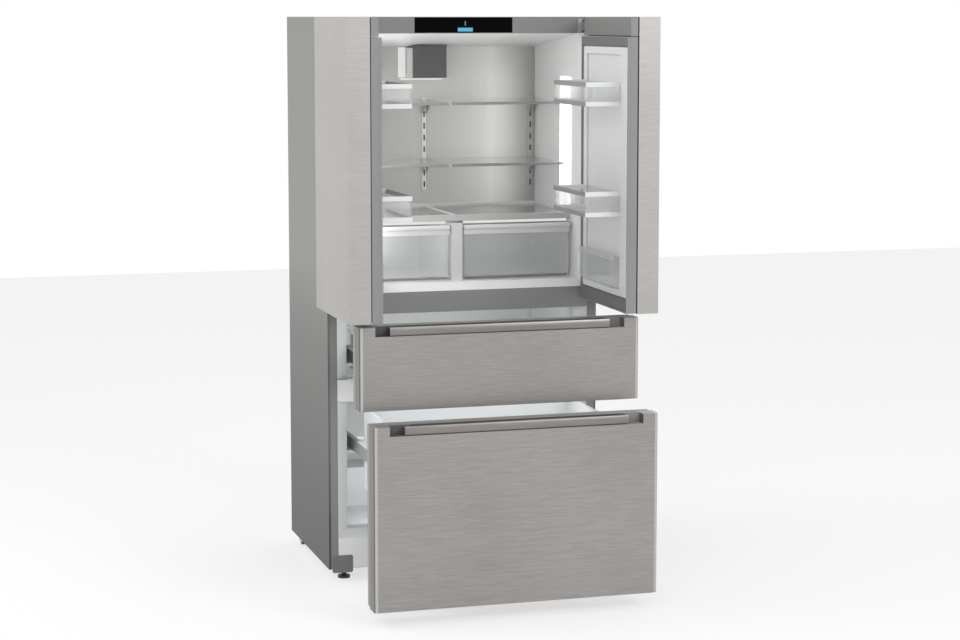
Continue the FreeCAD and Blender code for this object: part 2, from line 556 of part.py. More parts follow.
# Doors, standing open: steel pan, foam core, inner frame with its recess, and three bins.
for side, word in ((-1, "left"), (1, "right")):
    steel_in = "door_out - door_steel"
    frame_out = "door_out - door_steel - door_slit"
    pan = block(f"door_pan_{word}", span(side, steel_in, "door_out"), ("-door_free", "-door_hinge"),
                ("door_low", "tall"))
    pan_span = (span(side, steel_in, "door_out - gauge"),
                ("-door_free + gauge", "-door_hinge - gauge"), ("door_low + gauge", "tall - gauge"))
    keep(f"door_{word}_skin", cut(f"door_skin_{word}", pan,
                                  block(f"door_pan_space_{word}", *pan_span),
                                  *pin_space(f"skin_pins_{word}", side)))
    hollow_span = (span(side, "door_pan + ply", frame_out),
                   ("-door_free + frame_inset + frame_wall", "-frame_hinge - frame_wall"),
                   ("door_low + frame_inset + frame_wall", "frame_top - frame_wall"))
    slit_span = (span(side, frame_out, steel_in), ("-door_free + slit_inset", "-frame_hinge - slit_inset"),
                 ("door_low + slit_inset", "frame_top - slit_inset"))
    core = fuse(f"door_core_joined_{word}", block(f"core_pan_{word}", *pan_span),
                block(f"core_slit_{word}", *slit_span), block(f"core_hollow_{word}", *hollow_span))
    keep(f"door_{word}_core", cut(f"door_core_{word}", core, *pin_space(f"core_pins_{word}", side)))
    frame = block(f"door_frame_{word}", span(side, "door_in", frame_out),
                  ("-door_free + frame_inset", "-frame_hinge"),
                  ("door_low + frame_inset", "frame_top"))
    cap = block(f"door_cap_{word}", span(side, "door_in + cap_step", frame_out),
                ("-door_free + frame_inset", "-frame_hinge"), ("frame_top", "tall - frame_inset"))
    recess = block(f"recess_{word}", span(side, "door_in - gauge", "door_pan"),
                   ("-recess_free", "-recess_hinge"), ("recess_low", "recess_high"))
    lining = fuse(f"door_inner_joined_{word}", frame, cap)
    keep(f"door_{word}_inner", cut(f"door_inner_{word}", lining, recess,
                                   block(f"inner_hollow_{word}", *hollow_span),
                                   *pin_space(f"inner_pins_{word}", side)))
    for place, key, face in (("upper", "bin_a", "bin_in"), ("middle", "bin_b", "bin_in"),
                             ("lower", "bin_c", "bin_c_in")):
        mark = f"{place}_{word}"
        outside = block(f"bin_out_{mark}", span(side, face, "door_pan"), ("-bin_free", "-bin_hinge"),
                        (f"{key}_low", f"{key}_high"))
        inside = block(f"bin_space_{mark}", span(side, f"{face} + bin_ply", "door_pan - bin_ply"),
                       ("-bin_free + bin_ply", "-bin_hinge - bin_ply"),
                       (f"{key}_low + bin_ply", f"{key}_high + gauge"))
        keep(f"bin_{mark}", cut(f"bin_body_{mark}", outside, inside))


def front_pan(name, key, less):
    """A drawer front's body with round front corners, less a margin on every face but the rear."""
    half = f"front_half{less}"
    face = f"-{key}_face{less.replace('-', '+')}"
    middle = f"-{key}_face + front_round"
    up = (f"{key}_low{less.replace('-', '+')}", f"{key}_high{less}")
    rear = f"-{key}_face + front_steel"
    corners = [rod(f"{name}_corner_{side + 1}", "z", f"front_round{less}", up[0], up[1],
                   f"{side} * (front_half - front_round)", middle) for side in (-1, 1)]
    return fuse(name, block(f"{name}_wide", even(half), (middle, rear), up),
                block(f"{name}_face", even("front_half - front_round"), (face, rear), up), *corners)


# Drawers, standing open: steel front, foam core, inner frame with its seal, handle bar and tub.
for key, node in (("drawer_a", "drawer_upper"), ("drawer_b", "drawer_lower")):
    tub = key.replace("drawer", "tub")
    slide = key.replace("drawer", "slide")
    face, high, low = f"-{key}_face", f"{key}_high", f"{key}_low"
    lining_span = (even("notch_half + gauge"), (f"{face} + gauge", f"{face} + notch_deep + gauge"),
                   (f"{high} - notch_tall - gauge", f"{high} - gauge"))
    notch = block(f"{key}_notch", even("notch_half"), (f"{face} - gauge", f"{face} + notch_deep"),
                  (f"{high} - notch_tall", f"{high} + gauge"))
    keep(f"{node}_front", cut(f"{key}_front", fuse(
        f"{key}_front_joined",
        cut(f"{key}_front_shell", front_pan(f"{key}_pan", key, ""),
            front_pan(f"{key}_pan_space", key, " - gauge")),
        block(f"{key}_lining", *lining_span)), notch))

    frame_near = f"{face} + front_steel + door_slit"
    frame_far = f"{face} + front_frame"
    hollow_span = (even("front_half - frame_in - frame_wall"),
                   (frame_near, f"{frame_far} - frame_wall"),
                   (f"{low} + frame_in + frame_wall", f"{high} - frame_in - frame_wall"))
    slit_span = (even("front_half - slit_inset"), (f"{face} + front_steel", frame_near),
                 (f"{low} + slit_inset", f"{high} - slit_inset"))
    keep(f"{node}_core", fuse(
        f"{key}_core",
        cut(f"{key}_core_front", front_pan(f"{key}_core_pan", key, " - gauge"),
            block(f"{key}_core_relief", *lining_span)),
        block(f"{key}_core_slit", *slit_span), block(f"{key}_core_hollow", *hollow_span)))

    frame = cut(f"{key}_frame",
                block(f"{key}_frame_out", even("front_half - frame_in"), (frame_near, frame_far),
                      (f"{low} + frame_in", f"{high} - frame_in")),
                block(f"{key}_frame_space", *hollow_span))
    seal_span = (frame_far, f"{face} + front_seal")
    seal = cut(f"{key}_seal",
               block(f"{key}_seal_out", even("front_half - seal_in"), seal_span,
                     (f"{low} + seal_in", f"{high} - seal_in")),
               block(f"{key}_seal_space", even("front_half - seal_in - seal_band"),
                     (frame_far, f"{face} + front_seal + gauge"),
                     (f"{low} + seal_in + seal_band", f"{high} - seal_in - seal_band")))
    keep(f"{node}_inner", fuse(f"{key}_inner", frame, seal))

    bar = block(f"{key}_bar", even("handle_half"), (f"{face} + handle_front", f"{face} + handle_back"),
                (f"{high} - handle_low", f"{high} - handle_high"))
    bow = rod(f"{key}_bow", "x", "bow_radius", "-handle_half - gauge", "handle_half + gauge",
              f"{face} + handle_front + bow_radius", f"{high} - (handle_low + handle_high) / 2")
    grip = doc.addObject("Part::MultiCommon", f"{key}_grip")
    grip.Shapes = [bar, bow]
    posts = [block(f"{key}_post_{side + 1}", span(side, "handle_half - handle_post", "handle_half"),
                   (f"{face} + handle_back - gauge", f"{face} + notch_deep"),
                   (f"{high} - handle_low + gauge", f"{high} - handle_high - gauge"))
             for side in (-1, 1)]
    keep(f"{node}_handle", fuse(f"{key}_handle", grip, *posts))

    near = frame_far
    if key == "drawer_a":
        boxes = [((near, "tub_a_rear"), ("tub_a_low", "tub_a_high"))]
        rear = "tub_a_rear"
    else:
        boxes = [((near, "-tub_b_rear"), ("tub_b_step", "tub_b_high")),
                 ((near, "-tub_b_mid"), ("tub_b_low", "tub_b_step + tub_ply"))]
        rear = "-tub_b_rear"
    walls = [block(f"{key}_tub_{number}", even("tub_half"), back, up)
             for number, (back, up) in enumerate(boxes)]
    spaces = [block(f"{key}_tub_space_{number}", even("tub_half - tub_ply"),
                    (f"{back[0]} + tub_ply", f"{back[1]} - tub_ply"),
                    (f"{up[0]} + tub_ply", f"{up[1]} + gauge"))
              for number, (back, up) in enumerate(boxes)]
    wings = [block(f"{key}_wing_{side + 1}", span(side, "tub_half - gauge", "slide_out"), (near, rear),
                   (f"{slide}_low + slide_tall + gap", f"{slide}_low + slide_tall + gap + wing_tall"))
             for side in (-1, 1)]
    rim = block(f"{key}_rim", even("tub_half + tub_rim"), (near, f"{rear} + tub_rim"),
                (f"{tub}_high - tub_ply", f"{tub}_high"))
    tub_walls = fuse(f"{key}_tub_walls", *walls, *wings, rim)
    keep(f"{node}_tub", cut(f"{key}_tub_body", tub_walls, *spaces))

    rails = [block(f"{slide}_rail_{side + 1}", span(side, "slide_in", "slide_out"),
                   (f"-{slide}_front", f"-{slide}_front + slide_long"),
                   (f"{slide}_low", f"{slide}_low + slide_tall")) for side in (-1, 1)]
    rails.append(block(f"{slide}_rod", even("slide_in"),
                       (f"-{slide}_front + slide_long - slide_rod", f"-{slide}_front + slide_long"),
                       (f"{slide}_low", f"{slide}_low + slide_rod")))
    keep(f"{node}_slide", fuse(f"{slide}_frame", *rails))

doc.recompute()
for item in doc.Objects:
    wrong = [state for state in item.State if state in ("Invalid", "Error")]
    if wrong:
        raise RuntimeError(f"{item.Name}: {wrong}")
for node, item in nodes.items():
    if item.Shape.isNull() or not item.Shape.isValid():
        raise RuntimeError(f"{node} has no valid shape")
    print(node, len(item.Shape.Solids), round(item.Shape.Volume), item.Shape.BoundBox)

os.makedirs("parts", exist_ok=True)
for node, item in nodes.items():
    item.Shape.exportStep(f"parts/{node}.step")
print(len(nodes), "pieces")
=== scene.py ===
# %% [markdown]
# A French-door refrigerator, dressed over its construction model.
# The model brings every rigid piece at its true place, in metres, with +Y to the rear and +Z up.
# We load it first, and then give each piece its finish. Where a plain solid
# can't show the real form, such as a door's moulded liner or a clear bin, a finer piece replaces it.

# %% Load the construction model
import math

import bmesh
import bpy
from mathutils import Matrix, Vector


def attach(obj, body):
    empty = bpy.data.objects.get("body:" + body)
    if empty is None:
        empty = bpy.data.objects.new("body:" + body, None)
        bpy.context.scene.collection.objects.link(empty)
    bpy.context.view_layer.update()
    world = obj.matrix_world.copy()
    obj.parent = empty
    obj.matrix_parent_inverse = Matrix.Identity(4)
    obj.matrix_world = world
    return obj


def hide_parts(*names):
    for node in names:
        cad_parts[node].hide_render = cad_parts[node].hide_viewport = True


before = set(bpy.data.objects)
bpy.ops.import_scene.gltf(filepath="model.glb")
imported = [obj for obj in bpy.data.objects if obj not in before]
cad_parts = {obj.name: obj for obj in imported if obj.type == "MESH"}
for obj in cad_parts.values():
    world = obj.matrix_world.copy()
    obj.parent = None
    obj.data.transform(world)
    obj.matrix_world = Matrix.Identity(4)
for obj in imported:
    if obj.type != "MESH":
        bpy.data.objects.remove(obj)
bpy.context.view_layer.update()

# %% [markdown]
# Shader maths reads best as maths. A Wire wraps one output socket, and its operators add Math nodes,
# so a place above the floor turns into a share of the height with height / 1.82, and a mask turns
# over with 1 - mask. Colours don't go this way, because a Math node turns a colour grey.

# %% The wire
class Wire:
    """An output socket that can be used in sums."""

    def __init__(self, nodes, socket):
        self.nodes = nodes
        self.socket = socket

    def maths(self, operation, *values):
        return self.nodes.node("ShaderNodeMath", {"operation": operation},
                               dict(enumerate((self, *values))))

    def reflected(self, operation, value):
        return self.nodes.node("ShaderNodeMath", {"operation": operation}, {0: value, 1: self})

    def __add__(self, value):
        return self.maths("ADD", value)

    def __sub__(self, value):
        return self.maths("SUBTRACT", value)

    def __rsub__(self, value):
        return self.reflected("SUBTRACT", value)

    def __mul__(self, value):
        return self.maths("MULTIPLY", value)

    def __truediv__(self, value):
        return self.maths("DIVIDE", value)

    def __rtruediv__(self, value):
        return self.reflected("DIVIDE", value)

    def __gt__(self, value):
        return self.maths("GREATER_THAN", value)

    __radd__ = __add__
    __rmul__ = __mul__


def between(value, low, high):
    """Spreads a wire that goes from 0 to 1 over a range."""
    return value * (high - low) + low


print("a wire takes + - * / and >")

# %% [markdown]
# Every other node comes from one method, Nodes.node. It takes the type, then the settings, such as
# the stops of a ramp, which have to be set first, and then the sockets, as values or wires. The same
# class serves a material and the world, since each is a tree that starts with one shader.

# %% The nodes
class Nodes:
    """The node tree of a material or a world, and the shader that it starts with."""

    def __init__(self, owner, shader, **values):
        owner.use_nodes = True
        self.tree = owner.node_tree
        self.shader = self.tree.nodes[shader]
        for socket, value in values.items():
            self.feed(socket, value)

    def node(self, kind, settings=None, values=None, output=0):
        fresh = self.tree.nodes.new(kind)
        for key, value in (settings or {}).items():
            if key == "stops":
                self.set_stops(fresh.color_ramp, value)
            else:
                setattr(fresh, key, value)
        for key, value in (values or {}).items():
            self.join(fresh.inputs[key], value)
        return Wire(self, fresh.outputs[output])

    def set_stops(self, ramp, stops):
        """Gives a ramp its stops, each a place from 0 to 1 and a grey level."""
        while len(ramp.elements) < len(stops):
            ramp.elements.new(0.5)
        for element, (place, level) in zip(ramp.elements, stops):
            element.position = place
            element.color = (level, level, level, 1)

    def join(self, socket, value):
        if isinstance(value, Wire):
            self.tree.links.new(value.socket, socket)
        elif isinstance(value, tuple) and len(value) == 3 and len(socket.default_value) == 4:
            socket.default_value = (*value, 1)
        else:
            socket.default_value = value

    def feed(self, socket, value):
        self.join(self.shader.inputs[socket.replace("_", " ")], value)


print("one method makes the nodes of materials and world")

# %% [markdown]
# A finish is a Principled surface with a few patterns that feed it. All patterns follow the object's
# own coordinates, which are metres from the middle of the front at the floor. So a grain keeps its
# real size on a wide drawer and on a thin bar, and it moves with a door that opens.

# %% The finish
class Finish(Nodes):
    """A material: a Principled surface and the patterns that feed it."""

    def __init__(self, name, **values):
        self.material = bpy.data.materials.new(name)
        super().__init__(self.material, "Principled BSDF", **values)

    def place(self):
        return self.node("ShaderNodeTexCoord", output="Object")

    def along(self, axis):
        """The place along one axis, in metres."""
        return self.node("ShaderNodeSeparateXYZ", {}, {0: self.place()}, output=axis)

    def scaled(self, across, back, up):
        return self.node("ShaderNodeMapping", {}, {"Vector": self.place(), "Scale": (across, back, up)})

    def noise(self, where, size, detail=3.0, rough=0.5):
        return self.node("ShaderNodeTexNoise", {}, {
            "Vector": where, "Scale": size, "Detail": detail, "Roughness": rough})

    def ramp(self, wire, *stops):
        return self.node("ShaderNodeValToRGB", {"stops": stops}, {0: wire})

    def blend(self, factor, first, second):
        """Mixes two colours. The Mix node keeps its colours at inputs 6 and 7, and at output 2."""
        return self.node("ShaderNodeMix", {"data_type": "RGBA"}, {0: factor, 6: first, 7: second},
                         output=2)

    def shaded(self, tint, level):
        """A colour made darker or paler by a wire."""
        return self.node("ShaderNodeVectorMath", {"operation": "SCALE"}, {0: tint, "Scale": level})

    def bump(self, height, strength, reach):
        self.feed("Normal", self.node("ShaderNodeBump", {}, {
            "Height": height, "Strength": strength, "Distance": reach}))


print("patterns follow the object, in metres")

# %% [markdown]
# The brushed stainless steel of doors and drawers has a fine grain that runs across the front.
# Noise stretched along X gives the streaks: it is squeezed thirty times finer in height. The same
# streaks vary colour and roughness and lift the surface by a few tenths of a millimetre at most.
# A slower noise adds the faint cloudy bands that a rolled sheet shows. Where a drawer front is folded
# back at its sides, the bend carries a painted highlight and the short side face a painted shade.

# %% Brushed steel
FRONT_GRAIN = (14.0, 14.0, 420.0)
BAR_GRAIN = (6.0, 220.0, 220.0)
FOLD_START = 0.4385
FOLD_END = 0.4463
FOLD_HIGHLIGHT = (0.5, 0.487, 0.474)
FOLD_SIDE_SHADE = (0.16, 0.158, 0.155)


def brushed(name, dark, light, rough=0.34, metal=0.9, brush=FRONT_GRAIN, fold_highlight_and_shade=False):
    """Steel with a grain. The brush says how fine the grain is along X, Y and Z."""
    steel = Finish(name, Metallic=metal)
    grain = steel.noise(steel.scaled(*brush), 2.6, 4.0, 0.62)
    long_grain = steel.noise(steel.scaled(brush[0] * 0.5, brush[1] * 0.5, brush[2] * 0.3), 2.0)
    cloud = steel.noise(steel.scaled(1.6, 1.6, 2.2), 1.4, 2.0)
    streak = grain * 0.4 + long_grain * 0.35 + cloud * 0.25
    colour = steel.blend(steel.ramp(streak, (0.36, 0.0), (0.64, 1.0)), dark, light)
    # Painted highlight on the bend, painted shade on the short side face.
    if fold_highlight_and_shade:
        outward = steel.along("X").maths("ABSOLUTE")
        colour = steel.blend(outward > FOLD_START, colour, FOLD_HIGHLIGHT)
        colour = steel.blend(outward > FOLD_END, colour, FOLD_SIDE_SHADE)
    steel.feed("Base Color", colour)
    steel.feed("Roughness", between(grain, rough - 0.07, rough + 0.09))
    steel.bump(streak, 0.22, 0.0004)
    return steel.material


drawer_steel = brushed("drawer_steel", (0.275, 0.262, 0.252), (0.375, 0.361, 0.35), fold_highlight_and_shade=True)
# The door skins use a paler copy of the same steel: painted light for the brighter reflections they show.
lit_door_steel = brushed("lit_door_steel", (0.375, 0.363, 0.351), (0.465, 0.452, 0.44), rough=0.38, metal=0.85)
bar_steel = brushed("bar_steel", (0.2, 0.19, 0.182), (0.28, 0.268, 0.258), rough=0.3, brush=BAR_GRAIN)
print("brushed:", drawer_steel.name, lit_door_steel.name, bar_steel.name)

# %% [markdown]
# The back wall is brushed upright. Its colour holds a painted reflection of the inner lights: palest right
# of the middle, falling off towards both sides. A ramp over the width holds that painted reflection.

# %% Back wall
WALL_ROUGH = 0.36
WALL_TINT = (1.0, 0.98, 0.955)

wall = Finish("wall_steel", Metallic=0.55)
# Painted reflection: a ramp over the width, palest right of the middle.
painted_wall_reflection = wall.ramp(between(wall.along("X"), 0.5, 1.75),
                 (0.0, 0.38), (0.3, 0.42), (0.6, 0.62), (0.8, 0.9), (0.92, 0.6), (1.0, 0.42))
grain = wall.noise(wall.scaled(150.0, 2.0, 1.5), 2.0)
wall.feed("Base Color", wall.shaded(WALL_TINT, painted_wall_reflection * between(grain, 0.93, 1.05)))
wall.feed("Roughness", between(grain, WALL_ROUGH - 0.05, WALL_ROUGH + 0.07))
wall.bump(grain, 0.12, 0.0003)
wall_steel = wall.material
print("brushed upright:", wall_steel.name)

# %% [markdown]
# The outer case is a folded sheet, powder coated in a metallic grey with a barely visible
# orange-peel. Painted shade darkens it towards the foot, for the darker reflections there. A ramp over
# the height holds that shade, and a fine noise gives the peel in colour, roughness and bump.

# %% Paint of the case
CASE_TINT = (0.25, 0.25, 0.243)
CASE_HEIGHT = 1.82

case = Finish("side_paint", Metallic=0.4, Specular_IOR_Level=0.3)
peel = case.noise(case.place(), 700.0, 2.0)
# Painted shade: darker towards the foot.
painted_foot_shade = case.ramp(case.along("Z") / CASE_HEIGHT,
                  (0.0, 0.26), (0.14, 0.34), (0.42, 0.66), (0.56, 1.0), (1.0, 0.88))
case.feed("Base Color", case.shaded(CASE_TINT, painted_foot_shade * between(peel, 0.97, 1.03)))
case.feed("Roughness", between(peel, 0.38, 0.48))
case.bump(peel, 0.25, 0.00004)
side_paint = case.material
print("painted:", side_paint.name)

# %% [markdown]
# Liners, trims, seals and feet are moulded plastic, and the small plated parts can be made in the
# same way. Each carries a very fine moulded texture, a small noise in the bump and a little in the
# roughness, and a broad noise lets the colour drift by a few hundredths, as pigment does.

# %% Plastics and plated parts
def moulded(name, colour, rough=0.45, grain=900.0, depth=0.00006, metal=0.0, coat=0.0, gleam=0.5,
            vary=0.06):
    skin = Finish(name, Metallic=metal, Coat_Weight=coat, Specular_IOR_Level=gleam)
    fine = skin.noise(skin.place(), grain, 2.0)
    broad = skin.noise(skin.place(), 5.0)
    pale = tuple(min(1.0, channel * (1 + vary)) for channel in colour)
    deep = tuple(channel * (1 - vary) for channel in colour)
    skin.feed("Base Color", skin.blend(broad, deep, pale))
    skin.feed("Roughness", between(fine * 0.5 + broad * 0.5, rough - 0.06, rough + 0.06))
    skin.bump(fine, 0.25, depth)
    return skin.material


SMOOTH = {"grain": 500.0, "depth": 0.00005}
PLATED = {"grain": 300.0, "depth": 0.00005}

frame_grey = moulded("frame_grey", (0.2, 0.2, 0.195), 0.42, 800.0)
strip_grey = moulded("strip_grey", (0.235, 0.237, 0.235), 0.45, 800.0)
beam_grey = moulded("beam_grey", (0.27, 0.27, 0.265), 0.45, 800.0)
trim_grey = moulded("trim_grey", (0.5, 0.5, 0.49), 0.35)
seal_grey = moulded("seal_grey", (0.15, 0.15, 0.15), 0.6, 1400.0)
seal_dark = moulded("seal_dark", (0.03, 0.03, 0.03), 0.7, 1400.0)
cover_dark = moulded("cover_dark", (0.15, 0.155, 0.155), 0.5)
# Painted shade: a near-black for the shaded hollow of the handle notch.
notch_painted_shade = moulded("notch_painted_shade", (0.085, 0.087, 0.087), 0.5)
part_black = moulded("part_black", (0.02, 0.02, 0.02), 0.4)
liner_white = moulded("liner_white", (0.72, 0.725, 0.72), 0.32, **SMOOTH, vary=0.02)
cold_white = moulded("cold_white", (0.76, 0.775, 0.78), 0.34, **SMOOTH, vary=0.02)
wall_white = moulded("wall_white", (0.8, 0.805, 0.8), 0.36, **SMOOTH, vary=0.015)
post_white = moulded("post_white", (0.66, 0.665, 0.66), 0.4, **SMOOTH, vary=0.02)
foam_cream = moulded("foam_cream", (0.62, 0.56, 0.4), 0.85, 350.0, 0.0008)
zinc = moulded("zinc", (0.5, 0.5, 0.49), 0.35, **PLATED, metal=0.9, vary=0.12)
hinge_grey = moulded("hinge_grey", (0.4, 0.4, 0.395), 0.4, **PLATED, metal=0.3)
black_glass = moulded("black_glass", (0.075, 0.075, 0.078), 0.2, 12.0, 0.00001, coat=0.3, vary=0.3)
panel_black = moulded("panel_black", (0.0008, 0.0008, 0.0008), 0.5, 60.0, 0.00001, gleam=0.03)
print("finishes so far:", len(bpy.data.materials))

# %% [markdown]
# Shelves are safety glass and the bins clear styrene. Both let light straight through, so their
# colour stays near white with only a hint of tint, and a fine waviness keeps the gloss alive.
# A share of plain transparency keeps the contents lit, as thin sheets do not dim what is behind.

# %% Clear sheets
def clear(name, tint, rough, alpha, through=0.75):
    sheet = Finish(name, IOR=1.3, Transmission_Weight=through)
    wave = sheet.noise(sheet.place(), 14.0, 2.0)
    pale = tuple(min(1.0, channel * 1.03) for channel in tint)
    sheet.feed("Base Color", sheet.blend(wave, tint, pale))
    sheet.feed("Roughness", between(wave, rough, rough + 0.05))
    sheet.feed("Alpha", between(wave, alpha - 0.04, alpha + 0.04))
    sheet.bump(wave, 0.1, 0.0006)
    return sheet.material


shelf_glass = clear("shelf_glass", (0.72, 0.765, 0.755), 0.03, 0.5)
bin_clear = clear("bin_clear", (0.88, 0.9, 0.9), 0.05, 0.42)
crisper_clear = clear("crisper_clear", (0.93, 0.95, 0.94), 0.1, 0.46, through=0.5)
print("clear:", shelf_glass.name, bin_clear.name, crisper_clear.name)

# %% [markdown]
# The side lights and the small strips behind the cover glow. An emission that drifts a little
# over the length looks like a row of diodes behind frosted plastic. The lamps proper come later,
# so these strengths only have to look right.

# %% Glowing strips
def glowing(name, colour, strength):
    strip = Finish(name, Emission_Strength=strength, Roughness=0.3)
    drift = strip.noise(strip.place(), 9.0, 2.0)
    dim = tuple(channel * 0.88 for channel in colour)
    strip.feed("Base Color", strip.blend(drift, (0.02, 0.02, 0.02), (0.04, 0.04, 0.04)))
    strip.feed("Emission Color", strip.blend(drift, dim, colour))
    return strip.material


lamp_white = glowing("lamp_white", (1.0, 0.99, 0.96), 2.8)
# glow_white also serves the strip on the wall beside the fan hood, which is painted light.
glow_white = glowing("glow_white", (1.0, 0.99, 0.97), 0.75)
display_blue = glowing("display_blue", (0.045, 0.43, 0.7), 1.0)
display_white = glowing("display_white", (0.5, 0.52, 0.54), 0.3)
print("all finishes:", len(bpy.data.materials))

# %% [markdown]
# Most fine pieces here are thin moulded or folded shapes: slabs with eased edges, rings such as a
# door seal, and open trays. Small makers in bmesh cover them, so every edge gets its own rounding
# instead of the razor edge of a plain cube. Sizes are in millimetres, as on a drawing, and are
# turned to metres when the mesh is finished.

# %% Makers of slabs and trays
TOUCH = 0.01     # millimetres: closer than this counts as the same height


def ordered(low, high):
    """The lowest and the highest corner, so that a mirrored piece can be written as it comes."""
    return [min(pair) for pair in zip(low, high)], [max(pair) for pair in zip(low, high)]


def eased(mesh, radius, steps, chosen=None):
    """Rounds the chosen edges, or all of them."""
    edges = [edge for edge in mesh.edges if chosen is None or chosen(edge)]
    if radius > 0 and edges:
        bmesh.ops.bevel(mesh, geom=edges, offset=radius, segments=steps, profile=0.5, affect="EDGES")
    return mesh


def slab(low, high, radius=1.0, steps=3, chosen=None):
    mesh = bmesh.new()
    bmesh.ops.create_cube(mesh, size=1.0)
    low, high = ordered(low, high)
    for corner in mesh.verts:
        corner.co = Vector(a if part < 0 else b for part, a, b in zip(corner.co, low, high))
    return eased(mesh, radius, steps, chosen)


def tray(low, high, wall, radius):
    """An open tray with rounded upright corners and a rounded foot, as it leaves the mould."""
    low, high = ordered(low, high)
    rim = high[2] - TOUCH
    mesh = slab(low, high, radius, 5, lambda edge: min(end.co.z for end in edge.verts) < rim)
    lids = [face for face in mesh.faces if all(corner.co.z > rim for corner in face.verts)]
    bmesh.ops.delete(mesh, geom=lids, context="FACES")
    bmesh.ops.recalc_face_normals(mesh, faces=mesh.faces)
    bmesh.ops.solidify(mesh, geom=list(mesh.faces), thickness=wall)
    return mesh


print("makers: slab, tray")

# %% [markdown]
# A seal or a door frame is a flat ring, and a handle or a bracket is one section drawn out along its
# length. Both could be cut from a slab, but laying their own faces gives clean edges and few points.

# %% Makers of rings and drawn sections
AROUND = ((0, 0), (1, 0), (1, 1), (0, 1))


def walled(mesh, one, two):
    """Lays a band of faces between two loops of as many points."""
    for first in range(len(one)):
        second = (first + 1) % len(one)
        mesh.faces.new((one[first], one[second], two[second], two[first]))


def ring(axis, outer_low, outer_high, inner_low, inner_high, start, end, radius=1.0):
    """A flat ring seen along an axis: the outer and inner rectangles lie across the other two."""
    mesh = bmesh.new()
    across, up = [number for number in range(3) if number != axis]
    loops = []
    for level in (start, end):
        for corners in ((outer_low, outer_high), (inner_low, inner_high)):
            loop = []
            for first, second in AROUND:
                spot = Vector((0.0, 0.0, 0.0))
                spot[axis], spot[across], spot[up] = level, corners[first][0], corners[second][1]
                loop.append(mesh.verts.new(spot))
            loops.append(loop)
    near_out, near_in, far_out, far_in = loops
    for one, two in ((near_out, near_in), (near_in, far_in), (far_in, far_out), (far_out, near_out)):
        walled(mesh, one, two)
    bmesh.ops.recalc_face_normals(mesh, faces=mesh.faces)
    return eased(mesh, radius, 3)


def drawn(outline, start, end):
    """A section in Y and Z, drawn out along X."""
    mesh = bmesh.new()
    near, far = [[mesh.verts.new((place, back, up)) for back, up in outline] for place in (start, end)]
    walled(mesh, near, far)
    for loop in (near, far):
        mesh.faces.new(loop)
    bmesh.ops.recalc_face_normals(mesh, faces=mesh.faces)
    return mesh


print("makers: ring, drawn section")

# %% [markdown]
# A mesh becomes a piece when it has a name, a finish and a body to ride on. Faces that meet at less
# than 35 degrees are shaded as one soft surface, so a rounded edge catches light along its length. A
# piece may also replace a node of the construction model, which then only serves the motion.

# %% From a mesh to a piece
MM = 0.001
CREASE = math.radians(35)
batch = []


def laid_out(name, mesh, finish):
    """Turns a mesh in millimetres into an object in metres."""
    data = bpy.data.meshes.new(name)
    bmesh.ops.scale(mesh, vec=(MM, MM, MM), verts=mesh.verts)
    bmesh.ops.recalc_face_normals(mesh, faces=mesh.faces)
    mesh.to_mesh(data)
    mesh.free()
    data.materials.append(finish)
    piece = bpy.data.objects.new(name, data)
    bpy.context.scene.collection.objects.link(piece)
    return piece


def made(name, mesh, finish, body, *nodes, slot=None):
    """Makes a piece that rides on a body and may replace nodes."""
    piece = laid_out(name, mesh, finish)
    for face in piece.data.polygons:
        face.use_smooth = True
    piece.modifiers.new("crease", "WEIGHTED_NORMAL").keep_sharp = True
    piece.data.set_sharp_from_angle(angle=CREASE)
    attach(piece, body)
    if nodes:
        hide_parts(*nodes)
    batch.append(piece)


def tell(title):
    """Prints how many pieces a step made and the space they take, in millimetres."""
    points = [point.co for piece in batch for point in piece.data.vertices]
    size = " x ".join(f"{(max(places) - min(places)) / MM:.0f}" for places in zip(*points))
    print(f"{title}: {len(batch)} pieces in {size} mm")
    batch.clear()


print("pieces are made in millimetres and kept in metres")

# %% [markdown]
# The outer case and the hidden pieces keep their construction shapes, which are right as they are.
# They only need their real surfaces: painted sides, a grey front frame, white liners, zinc runners
# and black plastic feet.

# %% Finish the pieces that keep their shapes
def coat(node, finish):
    """Gives a node of the construction model its finish."""
    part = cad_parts[node]
    part.data.materials.clear()
    part.data.materials.append(finish)


kept = {
    side_paint: ["cabinet_wrap"],
    zinc: ["back_panel", "machine_cover", "base_frame", "evaporator", "drawer_upper_slide",
           "drawer_lower_slide"],
    hinge_grey: ["hinge_upper_left", "hinge_lower_left", "hinge_upper_right", "hinge_lower_right"],
    frame_grey: ["fascia"],
    beam_grey: ["partition", "drawer_upper_inner", "drawer_lower_inner"],
    wall_white: ["fridge_liner"],
    post_white: ["crisper_divider"],
    cold_white: ["freezer_liner", "drawer_upper_tub", "drawer_lower_tub"],
    wall_steel: ["back_wall"],
    part_black: ["mains_inlet", "roller_left", "roller_right", "foot_left", "foot_right",
                 "compressor", "air_fan"],
    panel_black: ["control_panel"],
    lamp_white: ["side_light_left", "side_light_right"],
    foam_cream: ["insulation"],
    seal_dark: ["door_left_core", "door_right_core", "drawer_upper_core", "drawer_lower_core"],
    drawer_steel: ["drawer_upper_front", "drawer_lower_front"],
    lit_door_steel: ["door_left_skin", "door_right_skin"],
}
for finish, names in kept.items():
    for name in names:
        coat(name, finish)
print("kept shapes:", sum(len(names) for names in kept.values()))

# %% [markdown]
# The front frame is one stamping in two looks: grey uprights, and a white beam between the drawers.
# A slab each is enough, because only their rounded front edges show. The base panel below is white
# too, with a grey cover at either end, whose round corners need a wide bevel on four edges only.

# %% Front frame and base panel
sides = (("left", -1), ("right", 1))
UPRIGHT_IN = 423
COVER_CORNER = 7.0


def runs_back(edge):
    """True for an edge that runs from front to rear."""
    near, far = edge.verts
    return abs(near.co.y - far.co.y) > 1


